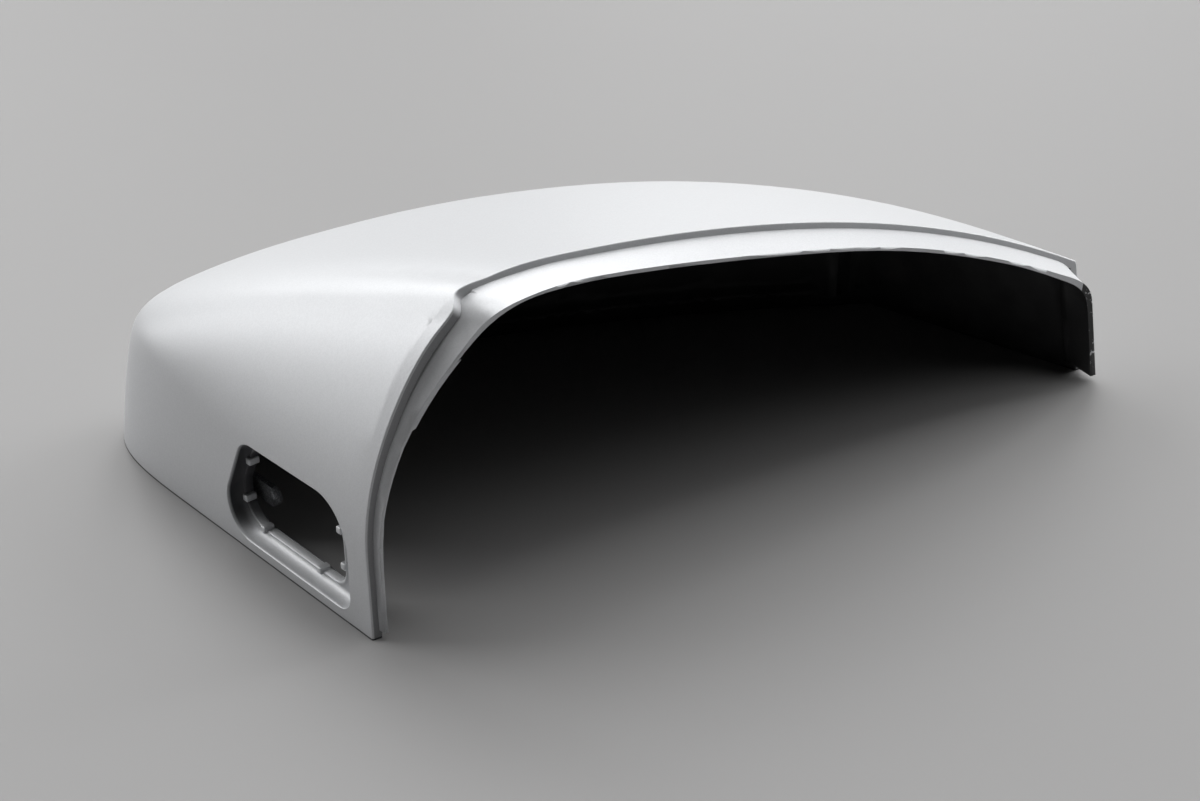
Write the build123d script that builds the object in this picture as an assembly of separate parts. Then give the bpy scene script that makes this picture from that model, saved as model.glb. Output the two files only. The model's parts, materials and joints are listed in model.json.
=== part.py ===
from build123d import *
import math
import os

# Upper cover of a door mirror: one moulded shell, open behind and below.
# It stands on its parting edge. X runs along the rear opening, from the lamp
# window to the far end, Y runs forward and Z up. All lengths are in millimetres
# and all angles in degrees, and x and y start at the window side's rear foot.

# Roof
ROOF_HEIGHT = 83.2          # above the parting edge, at the crown
CROWN_X = 61.3              # from the window side to the crown
ROOF_TILT = 3.85            # slope at the crown, down towards the far end
ROOF_RADIUS = 517.0         # curve across the width
ROOF_DROOP = 8.5            # further drop by the time the roof reaches the far end
ROOF_FALL = 13.5            # slope at the crown, down towards the front
ROOF_FALL_RADIUS = 1600.0   # curve from rear to front
ROOF_UNTWIST = 0.088        # fall to the front lost with each hundred millimetres of width

# Window side, with the crease above which it leans in to the shoulder
SIDE_FLARE = 8.5            # widening towards the front
CREASE_HEIGHT = 23.2
CREASE_RISE = 10.8
SHOULDER_RADIUS = 66.3      # bend above the crease, at the rear
SHOULDER_LENGTH = 128.0     # from the rear, until that bend has run out
SHOULDER_END = 0.06         # share of the bend that is left there
CREASE_ANGLE = 9.0          # kink at the crease's front end; it fades out to the rear
CREASE_SOFTNESS = 5.0

# Far end and front
RIM_WIDTH = 238.5           # between the feet of the rear opening
END_ANGLE = 17.5            # narrowing towards the front
END_LEAN = 12.0
FRONT_DEPTH = 131.9
FRONT_X = -6.0              # where the front reaches furthest
FRONT_RADIUS = 397.0
FRONT_LEAN = 11.7
FRONT_CURVE_RADIUS = 200.0  # curve of the front from its foot to the roof

# Soft edges between those faces
RIDGE_BLEND_REAR = 24.0
RIDGE_BLEND_FRONT = 14.0
CREST_HEIGHT = 1.1          # swelling along the ridge, with a soft hollow on each side
CREST_WIDTH = 7.5           # from its middle to where it has run out
CREST_LENGTH = 88.0         # from the rear to where it has faded
CORNER_BLEND = 54.0         # between the side and the front
END_BLEND = 7.0             # at the lip
END_BEVEL = 1.6             # at the skin

# Wall and rear edge
WALL = 2.5
SIDE_OVERHANG = 5.0         # the side's edge stands this far behind the roof's edge
SIDE_EDGE_LEAN = 1.1
EDGE_BEVEL = 0.5
JOG_X = 27.3                # where the edge has stepped forward from the side to the roof
JOG_TURN = 38.0             # the step's slant, across and then up
JOG_SLOPE = 35.0

# Lip behind the rear edge, which the mirror's frame slips over
LIP_REACH = 8.0
LIP_OVERLAP = 3.0           # bonded length inside the skin
LIP_THICKNESS = 0.9
LIP_END_THICKNESS = 1.8     # on the far end's leg
LIP_STEP = 1.25             # from the skin to the lip, at the roof's edge
SIDE_STEP = 1.9             # the same at the side's edge
LIP_DIP = 3.5               # further drop along the reach of the roof's lip
DIP_INSIDE = 1.0            # the drop starts this far ahead of the edge
LIP_SAG = 1.3               # more of it in the middle
SAG_SPREAD = 50.0           # polar angle from the middle to where the sag has gone
LIP_FOOT = 2.3              # the lip stops this far above the parting edge
DIP_STARTS = 166.0          # polar angles between which the dip grows, on the side
DIP_ENDS = 132.0
LEG_STARTS = 26.0           # polar angles between which the lip thickens, at the far end
LEG_ENDS = 14.0
TAB_LOW = 53.5
TAB_HIGH = 68.0
TAB_THICKNESS = 2.2
TAB_REACH = 5.0

# Lamp window in the side, measured along the wall from its rear edge
WINDOW_REAR = 8.4
WINDOW_LENGTH = 57.6
WINDOW_TOP_LENGTH = 43.1
WINDOW_LOW = 2.5
WINDOW_HEIGHT = 29.5
REAR_LOW_CORNER = 5.0
FRONT_LOW_CORNER = 9.0
FRONT_TOP_CORNER = 6.5
REAR_TOP_CORNER = 12.0
MOUTH_ROUND = 0.45          # softened edge of the window
RECESS_DEPTH = 4.5
RECESS_COVE = 1.6           # the recess's wall curves in by this much to its floor
COVE_STEPS = 4
RECESS_WALL = 2.0
LEDGE_LOW = 1.7             # flat width round the opening, on each side
LEDGE_FRONT = 0.5
LEDGE_TOP = 0.8
LEDGE_REAR = 5.0
LEDGE_THICKNESS = 1.6
BEAD_WIDTH = 0.6            # raised edge round the opening
BEAD_HEIGHT = 0.4
PIP_WIDTH = 1.6             # locating pips on that edge, at shares of its sides
PIP_REACH = 0.9
PIP_HEIGHT = 1.2
PIPS_UP_FRONT = (0.30, 0.72)
PIPS_UP_REAR = (0.30, 0.66)
PIPS_ALONG = (0.31, 0.78)

# Snap tongue behind the window
TONGUE_DEPTH = 8.0
TONGUE_THICKNESS = 1.6
TONGUE_WIDTH = 5.5
TONGUE_MIDDLE = 12.3        # above the parting edge
TONGUE_LENGTH = 25.0
TONGUE_TIP = 50.0           # from the side's rear edge
TONGUE_ROOT = 3.0

# Inside: ledge rib along the front, snap hooks under the roof, clip at the corner
RIB_HEIGHT = 7.0
RIB_THICKNESS = 1.8
RIB_REACH = 5.0
RIB_REAR = 40.0
RIB_START = 8.0
HOOK_PLACES = (75.0, 125.0, 175.0)
HOOK_WIDTH = 9.0
HOOK_LENGTH = 6.0
HOOK_REACH = 3.0
CLIP_FROM_END = 36.5        # from the far end's foot to the clip's middle
CLIP_WIDTH = 12.0
CLIP_HEIGHT = 22.0
CLIP_REACH = 8.0
CLIP_SLOT = 5.0
ANGLE_STEP = 0.5            # for the slope at the end of a curve
SINK = 0.4                  # what stands on the wall runs this far into it

# Sections of the lofts: curves of each arch, as (polar angle from, to, spans)
SKIN_ZONES = ((180, 112, 18), (112, 0, 14))
LIP_ZONES = ((180, 32, 26), (32, 0, 12))
ARCHES = 16
END_SPARE = 25.0            # the lofts run this far past the end wall that cuts them
HUB_X = 0.44 * RIM_WIDTH
HUB_Y = 0.65 * FRONT_DEPTH
CLIP_X = RIM_WIDTH - CLIP_FROM_END
OVERRUN = 3.0               # cutting bodies run this far past what they cut
FAR = 1.5 * (RIM_WIDTH + FRONT_DEPTH)
ON_EDGE = (Align.CENTER, Align.MIN, Align.MIN)


def rise(angle):
    """Rise over one unit of run."""
    return math.tan(math.radians(angle))


def side_x(y, z):
    forward = min(max(y / SHOULDER_LENGTH, 0), 1 - SHOULDER_END)
    above = soft_larger(z - CREASE_HEIGHT - rise(CREASE_RISE) * y, 0, CREASE_SOFTNESS)
    kink = rise(CREASE_ANGLE) * forward * above
    bend = above ** 2 / (2 * SHOULDER_RADIUS * (1 - forward))
    return kink + bend - rise(SIDE_FLARE) * (y + SIDE_OVERHANG)


def roof_z(x, y):
    across = x - CROWN_X
    droop = ROOF_DROOP * (across / (RIM_WIDTH - CROWN_X)) ** 3
    fall = rise(ROOF_FALL) - ROOF_UNTWIST * across / 100
    drop_across = rise(ROOF_TILT) * across + across ** 2 / (2 * ROOF_RADIUS) + droop
    return ROOF_HEIGHT - drop_across - fall * y - y ** 2 / (2 * ROOF_FALL_RADIUS)


def front_y(x, z):
    bow = (x - FRONT_X) ** 2 / (2 * FRONT_RADIUS)
    return FRONT_DEPTH - bow - rise(FRONT_LEAN) * z - z ** 2 / (2 * FRONT_CURVE_RADIUS)


def end_x(y, z):
    lean = rise(END_LEAN) / math.cos(math.radians(END_ANGLE))
    return RIM_WIDTH - rise(END_ANGLE) * y - lean * z


def stretch(surface, a, b):
    """How much longer a step along the axis is than one square to the surface."""
    step = 0.1
    slope_a = (surface(a + step, b) - surface(a - step, b)) / (2 * step)
    slope_b = (surface(a, b + step) - surface(a, b - step)) / (2 * step)
    return math.sqrt(1 + slope_a ** 2 + slope_b ** 2)


def soft_larger(a, b, size):
    """The larger of two distances, rounded over where they are close."""
    overlap = max(size - abs(a - b), 0) / size
    return max(a, b) + overlap ** 3 * size / 6


def outside(x, y, z, end_spare, end_blend):
    """Distance outside the skin, negative inside, with the end wall moved out by the spare."""
    side = (side_x(y, z) - x) / stretch(side_x, y, z)
    roof = (z - roof_z(x, y)) / stretch(roof_z, x, y)
    front = (y - front_y(x, z)) / stretch(front_y, x, z)
    end = (x - end_x(y, z)) / stretch(end_x, y, z) - end_spare
    forward = min(max(y / SHOULDER_LENGTH, 0), 1)
    ridge = RIDGE_BLEND_REAR + (RIDGE_BLEND_FRONT - RIDGE_BLEND_REAR) * forward
    walls = soft_larger(front, side, CORNER_BLEND)
    from_crest = min(abs(walls - roof) / CREST_WIDTH, 1)
    crest = CREST_HEIGHT * (1 - min(max(y / CREST_LENGTH, 0), 1)) * (1 - from_crest ** 2) ** 2
    return soft_larger(soft_larger(walls, roof, ridge) - crest, end, end_blend)


def at_skin(place):
    """Distance outside the skin before the end wall cuts it."""
    return outside(*place, END_SPARE, END_SPARE)


def at_lip(place):
    """Distance outside the skin with its end wall, which the lip follows."""
    return outside(*place, 0, END_BLEND)


def skin_point(hub, direction, distance_at, inset):
    """Where a ray from the hub comes within the inset of the skin."""
    near, far = 0.0, FAR
    while far - near > 1e-7:
        middle = (near + far) / 2
        if distance_at(hub + direction * middle) + inset < 0:
            near = middle
        else:
            far = middle
    return hub + direction * near


def arch(y, foot, tilt, zones, distance_at, inset_at):
    """Closed wire round the skin, in a plane tilted forward about its foot line."""
    lean = math.radians(tilt)
    hub = Vector(HUB_X, y, foot)

    def point(angle):
        across, up = math.cos(math.radians(angle)), math.sin(math.radians(angle))
        direction = Vector(across, up * math.sin(lean), up * math.cos(lean))
        return skin_point(hub, direction, distance_at, inset_at(angle))

    curves = []
    for start, end, spans in zones:
        points = [point(start + (end - start) * i / spans) for i in range(spans + 1)]
        ends = [(point(angle - ANGLE_STEP) - point(angle + ANGLE_STEP)).normalized() for angle in (start, end)]
        shares = [i / spans for i in range(spans + 1)]
        curves.append(Edge.make_spline(points, tangents=ends, parameters=shares))
    return Wire(curves + [Edge.make_line(curves[-1] @ 1, curves[0] @ 0)])


def ahead_of_end(inset):
    """Everything on the window's side of the end wall's plane, drawn in by the inset."""
    angle = math.radians(END_ANGLE)
    facing = Vector(math.cos(angle), math.sin(angle), rise(END_LEAN)).normalized()
    wall = Plane(Vector(RIM_WIDTH, 0, 0) - facing * inset, z_dir=facing)
    return wall * Box(4 * FAR, 4 * FAR, 4 * FAR, align=(Align.CENTER, Align.CENTER, Align.MAX))


def skin_body(inset, rear, foot):
    """Solid filled up to the inset of the skin: arches fanned from upright to flat, cut at the end."""
    arches = []
    for i in range(ARCHES + 1):
        share = i / ARCHES
        y = rear + (HUB_Y - rear) * share
        arches.append(arch(y, foot, 90 * share, SKIN_ZONES, at_skin, lambda angle: inset))
    return Solid.make_loft(arches) & ahead_of_end(inset)


def room(low, high, rear, front):
    """Slab that spans the whole width."""
    return Pos(0, rear, low) * Box(2 * FAR, front - rear, high - low, align=ON_EDGE)


def beyond_jog(rear, front):
    """Slab on the roof's side of the slanted step where the side's edge ends."""
    turn, slope = math.radians(JOG_TURN), math.radians(JOG_SLOPE)
    facing = Vector(math.cos(turn), -math.sin(turn), math.tan(slope))
    step = Plane((JOG_X, 0, roof_z(JOG_X, 0) - WALL), z_dir=facing)
    beyond = step * Box(4 * FAR, 4 * FAR, 4 * FAR, align=(Align.CENTER, Align.CENTER, Align.MIN))
    return beyond & room(-FAR, FAR, rear, front)


def roof_bevel():
    """What the bevel takes off the roof's rear edge, from the jog to the far foot."""
    rear, front = -EDGE_BEVEL, 2 * EDGE_BEVEL
    low, high = (lambda angle: 2 * EDGE_BEVEL), (lambda angle: -EDGE_BEVEL)
    foot = -2 * OVERRUN
    arches = [arch(rear, foot, 0, LIP_ZONES, at_lip, low), arch(front, foot, 0, LIP_ZONES, at_lip, high)]
    return beyond_jog(rear, front) - Solid.make_loft(arches, ruled=True)


def on_end_edge(edge):
    """True for an edge between the end wall and the roof or the front."""
    middle = edge.position_at(0.5)
    off_end = middle.X - end_x(middle.Y, middle.Z)
    return max(abs(off_end), abs(at_skin(middle))) < EDGE_BEVEL


def on_side_edge(edge):
    """True for an edge of the skin's outside that lies behind the roof's edge."""
    middle = edge.position_at(0.5)
    return abs(at_lip(middle)) < EDGE_BEVEL and middle.Y < -EDGE_BEVEL and middle.Z > 0


def skin():
    """The wall, trimmed to the rear edge with its jog, bevelled there, then cut level at its foot."""
    outer = skin_body(0, -SIDE_OVERHANG - OVERRUN, -2 * OVERRUN)
    outer = chamfer([edge for edge in outer.edges() if on_end_edge(edge)], END_BEVEL)
    inner = skin_body(WALL, -SIDE_OVERHANG - 2 * OVERRUN, -3 * OVERRUN)
    edge_y = rise(SIDE_EDGE_LEAN) * FAR
    low, high = (-SIDE_OVERHANG - edge_y, -FAR), (-SIDE_OVERHANG + edge_y, FAR)
    trim = make_face(Polyline(low, (FAR, -FAR), (FAR, FAR), high, close=True))
    ahead = extrude(Plane.YZ * trim, 2 * FAR, both=True)
    wall = (outer - inner) & (ahead - beyond_jog(-FAR, 0))
    wall = chamfer([edge for edge in wall.edges() if on_side_edge(edge)], EDGE_BEVEL)
    return (wall - roof_bevel()) & room(0, FAR, -FAR, FAR)


def lip_inset(y, depth):
    """Inset of the lip at each polar angle: it dips along its reach, but not on the side."""
    reach = max(DIP_INSIDE - y, 0) / (DIP_INSIDE + LIP_REACH)

    def inset_at(angle):
        share = min(max((DIP_STARTS - angle) / (DIP_STARTS - DIP_ENDS), 0), 1)
        grown = share * share * (3 - 2 * share)
        from_middle = min(abs(angle - 90) / SAG_SPREAD, 1)
        sag = LIP_SAG * math.cos(math.radians(90 * from_middle)) ** 2
        step = SIDE_STEP + (LIP_STEP - SIDE_STEP) * grown
        on_leg = min(max((LEG_STARTS - angle) / (LEG_STARTS - LEG_ENDS), 0), 1)
        thicker = 1 + (LIP_END_THICKNESS / LIP_THICKNESS - 1) * on_leg
        return step + depth * thicker + (LIP_DIP * grown + sag) * reach

    return inset_at


def lip_body(depth, rear, front, foot):
    places = (front, DIP_INSIDE, rear)
    arches = [arch(y, foot, 0, LIP_ZONES, at_lip, lip_inset(y, depth)) for y in places]
    return Solid.make_loft(arches, ruled=True)


def lip():
    outer = lip_body(0, -LIP_REACH, LIP_OVERLAP, LIP_FOOT)
    inner = lip_body(LIP_THICKNESS, -LIP_REACH - OVERRUN, LIP_OVERLAP + OVERRUN, LIP_FOOT - OVERRUN)
    tab_inner = lip_body(TAB_THICKNESS, -LIP_REACH - OVERRUN, LIP_OVERLAP + OVERRUN, LIP_FOOT - OVERRUN)
    tab = (outer - tab_inner) & room(TAB_LOW, TAB_HIGH, -LIP_REACH, TAB_REACH - LIP_REACH)
    tab &= Box(2 * HUB_X, FAR, FAR)
    return outer - inner + tab


def window_plane(depth):
    """Plane of the side wall: x forward along it, y up, and depth inwards."""
    turn = math.radians(SIDE_FLARE)
    inwards = Vector(math.cos(turn), math.sin(turn), 0)
    forward = Vector(-math.sin(turn), math.cos(turn), 0)
    return Plane(Vector(0, -SIDE_OVERHANG, 0) + inwards * depth, x_dir=forward, z_dir=inwards)


def window_outline(rear, front, top, low):
    """The window's four-sided outline, drawn in by so much on each side."""
    base_y = WINDOW_LOW + low
    top_y = WINDOW_LOW + WINDOW_HEIGHT - top
    slant = (WINDOW_LENGTH - WINDOW_TOP_LENGTH) / WINDOW_HEIGHT
    front_x = WINDOW_REAR + WINDOW_LENGTH - front
    corners = (
        (WINDOW_REAR + rear, base_y),
        (front_x - slant * low, base_y),
        (front_x - slant * (WINDOW_HEIGHT - top), top_y),
        (WINDOW_REAR + rear, top_y),
    )
    radii = [REAR_LOW_CORNER, FRONT_LOW_CORNER, FRONT_TOP_CORNER, REAR_TOP_CORNER]
    return make_face(FilletPolyline(*corners, radius=radii, close=True))


def even_outline(margin):
    return window_outline(margin, margin, margin, margin)


def opening_outline(margin):
    inset = RECESS_COVE + margin
    return window_outline(LEDGE_REAR + inset, LEDGE_FRONT + inset, LEDGE_TOP + inset, LEDGE_LOW + inset)


def tray():
    """Block behind the window that the recess is sunk into: it reaches down to the parting edge."""
    outline = window_outline(-RECESS_WALL, -RECESS_WALL, -RECESS_WALL, -WINDOW_LOW - FRONT_LOW_CORNER)
    block = extrude(window_plane(0) * outline, RECESS_DEPTH + LEDGE_THICKNESS)
    return block & room(0, FAR, -FAR, FAR)


def recess():
    """What the window takes away: the coved recess and the opening in its floor."""
    sections = [window_plane(-OVERRUN) * even_outline(-MOUTH_ROUND - OVERRUN)]
    sections.append(window_plane(MOUTH_ROUND) * even_outline(0))
    for i in range(1, COVE_STEPS + 1):
        turn = math.radians(90 * i / COVE_STEPS)
        depth = MOUTH_ROUND + (RECESS_DEPTH - MOUTH_ROUND) * math.sin(turn)
        sections.append(window_plane(depth) * even_outline(RECESS_COVE * (1 - math.cos(turn))))
    through = extrude(window_plane(0) * opening_outline(0), TONGUE_DEPTH)
    return loft(sections, ruled=True) + through


def pip_places():
    """Middles of the locating pips, on the edge of the opening."""
    low = WINDOW_LOW + RECESS_COVE + LEDGE_LOW
    rear = WINDOW_REAR + RECESS_COVE + LEDGE_REAR
    front = WINDOW_REAR + WINDOW_LENGTH - RECESS_COVE - LEDGE_FRONT
    shortening = WINDOW_LENGTH - WINDOW_TOP_LENGTH
    places = [(rear, WINDOW_LOW + up * WINDOW_HEIGHT) for up in PIPS_UP_REAR]
    places += [(front - up * shortening, WINDOW_LOW + up * WINDOW_HEIGHT) for up in PIPS_UP_FRONT]
    places += [(WINDOW_REAR + along * WINDOW_LENGTH, low) for along in PIPS_ALONG]
    return places


def bead():
    """Raised edge round the opening, with the locating pips."""
    ring = opening_outline(-BEAD_WIDTH) - opening_outline(0)
    edge = extrude(window_plane(RECESS_DEPTH - BEAD_HEIGHT) * ring, BEAD_HEIGHT + SINK)
    size = PIP_WIDTH + PIP_REACH
    pip = Rectangle(size, size)
    pip = chamfer(pip.vertices(), PIP_REACH / 2)
    for x, y in pip_places():
        plane = window_plane(RECESS_DEPTH - PIP_HEIGHT)
        edge += extrude(plane * Pos(x, y) * pip, PIP_HEIGHT + LEDGE_THICKNESS)
    return edge


def tongue():
    """Springy tongue that holds the lamp, on a root that stands on the side wall."""
    root_x = TONGUE_TIP + TONGUE_LENGTH
    blade = Pos(root_x, TONGUE_MIDDLE) * Rectangle(
        TONGUE_LENGTH - TONGUE_WIDTH / 2, TONGUE_WIDTH, align=(Align.MAX, Align.CENTER)
    )
    tip = Pos(TONGUE_TIP + TONGUE_WIDTH / 2, TONGUE_MIDDLE) * Circle(TONGUE_WIDTH / 2)
    root = Pos(root_x, TONGUE_MIDDLE) * Rectangle(
        TONGUE_ROOT, TONGUE_WIDTH, align=(Align.MIN, Align.CENTER)
    )
    spring = extrude(window_plane(TONGUE_DEPTH) * (blade + tip + root), TONGUE_THICKNESS)
    stand_depth = TONGUE_DEPTH + TONGUE_THICKNESS - WALL + SINK
    return spring + extrude(window_plane(WALL - SINK) * root, stand_depth)


def inside_fittings():
    """Ledge rib, snap hooks and the corner clip, all seated in the wall."""
    filled = skin_body(WALL - SINK, -SIDE_OVERHANG - OVERRUN, -OVERRUN)
    rib_hollow = skin_body(WALL + RIB_REACH, -SIDE_OVERHANG - 2 * OVERRUN, -2 * OVERRUN)
    low = RIB_HEIGHT
    fittings = (filled - rib_hollow) & room(low, low + RIB_THICKNESS, RIB_REAR, FAR)
    middle = (RIB_START + CLIP_X) / 2
    fittings &= Pos(middle, 0, 0) * Box(CLIP_X - RIB_START, FAR, FAR)
    for x in HOOK_PLACES:
        under = roof_z(x, 0) - WALL - HOOK_REACH
        hook = Pos(x, LIP_OVERLAP, under) * Box(HOOK_WIDTH, HOOK_LENGTH, FAR, align=ON_EDGE)
        fittings += hook & filled
    clip_y = front_y(CLIP_X, 0) - WALL - CLIP_REACH
    clip_place = Pos(CLIP_X, clip_y, RIB_HEIGHT)
    clip = clip_place * Box(CLIP_WIDTH, FAR, CLIP_HEIGHT, align=ON_EDGE)
    slot = clip_place * Box(CLIP_SLOT, CLIP_REACH, CLIP_HEIGHT, align=ON_EDGE)
    fittings += (clip & filled) - slot
    return fittings


def cover():
    shell = skin() + lip()
    shell += tray() & skin_body(SINK, -SIDE_OVERHANG - OVERRUN, -OVERRUN)
    shell = shell - recess() + bead() + tongue() + inside_fittings()
    return shell


if __name__ == "__main__":
    os.makedirs("parts", exist_ok=True)
    part = cover()
    box = part.bounding_box()
    part = Pos(-box.center().X, -box.center().Y, -box.min.Z) * part
    export_step(part, "parts/mirror_cover.step")
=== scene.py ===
import json
import logging
import math
from abc import ABC, abstractmethod
from dataclasses import dataclass
from enum import IntEnum
from typing import Any, Callable, Union

import bpy
import numpy as np
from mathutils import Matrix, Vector


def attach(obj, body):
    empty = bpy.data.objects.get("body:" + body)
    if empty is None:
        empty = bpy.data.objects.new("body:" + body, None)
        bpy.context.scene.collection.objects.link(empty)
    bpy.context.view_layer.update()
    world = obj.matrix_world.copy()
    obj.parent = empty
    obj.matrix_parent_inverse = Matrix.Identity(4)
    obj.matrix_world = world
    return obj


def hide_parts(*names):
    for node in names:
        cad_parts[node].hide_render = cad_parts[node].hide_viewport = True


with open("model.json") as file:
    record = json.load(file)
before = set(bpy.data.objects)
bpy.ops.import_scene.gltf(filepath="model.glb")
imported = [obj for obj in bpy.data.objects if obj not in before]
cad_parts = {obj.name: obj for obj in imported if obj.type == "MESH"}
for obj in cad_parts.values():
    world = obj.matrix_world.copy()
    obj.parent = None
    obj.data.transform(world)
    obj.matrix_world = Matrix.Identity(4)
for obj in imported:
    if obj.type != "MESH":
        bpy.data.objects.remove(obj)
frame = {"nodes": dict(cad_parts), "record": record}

log = logging.getLogger("mirror_cover")
MM = 0.001
QUARTER_TURN = 90.0
NOISE_MIDDLE = 0.5
NODE = "mirror_cover"
BODY = "root"
# mesh attribute holding the share of painted shade at each point
SHADE_ATTRIBUTE = "painted_shade"
MIX_FIRST = 6
MIX_SECOND = 7
MIX_RESULT = 2
Array = np.ndarray
Triple = tuple[float, float, float]
Span = tuple[float, float]
Sides = tuple[float, float, float, float]
Key = Union[int, str]
Sockets = dict[Key, Any]


class Finish(IntEnum):
    """Which material a face of the shell wears: the number is its slot."""

    PAINT = 0
    BARE = 1
    CHIPPED = 2
    DUSTED = 3


# Forms: lengths in millimetres, angles in degrees


@dataclass(frozen=True)
class RimFrame:
    """Frame of the rear opening, in millimetres: x and y start at the window side's rear foot."""

    mount: str = "rear_lip"
    mount_place: Triple = (110.0, -8.0, 72.0)

    def origin(self) -> Array:
        """Where the rim frame starts, in the part's metres."""
        places = {mount["name"]: mount["pos_m"] for mount in frame["record"]["mounts"]}
        return np.array(places[self.mount]) - np.array(self.mount_place) * MM

    def to_part(self, places: Union[Array, Triple]) -> Array:
        """Turns rim millimetres into the part's metres."""
        return self.origin() + np.array(places) * MM

    def to_rim(self, places: Array) -> Array:
        """Turns the part's metres into rim millimetres."""
        return (places - self.origin()) / MM


def rise(angle: float) -> float:
    """Rise over one unit of run."""
    return math.tan(math.radians(angle))


def ease(value: Array, start: float, end: float) -> Array:
    """Soft step: 0 before the start, 1 after the end."""
    share = np.clip((value - start) / (end - start), 0, 1)
    return share * share * (3 - 2 * share)


def between(value: Array, span: Span) -> Array:
    """Whether each value lies inside a span."""
    return (value > span[0]) & (value < span[1])


def soft_larger(a: Any, b: Any, size: Any) -> Array:
    """The larger of two distances, rounded over where they are closer than a size."""
    overlap = np.maximum(size - np.abs(a - b), 0) / size
    return np.maximum(a, b) + overlap ** 3 * size / 6


def rounding(radius: float, steps: int) -> list[Span]:
    """Points of a quarter round: how far short of the edge each is, and its depth."""
    turns = [math.radians(QUARTER_TURN * k / steps) for k in range(steps + 1)]
    return [(radius * (1 - math.sin(turn)), radius * (1 - math.cos(turn))) for turn in turns]


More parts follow.
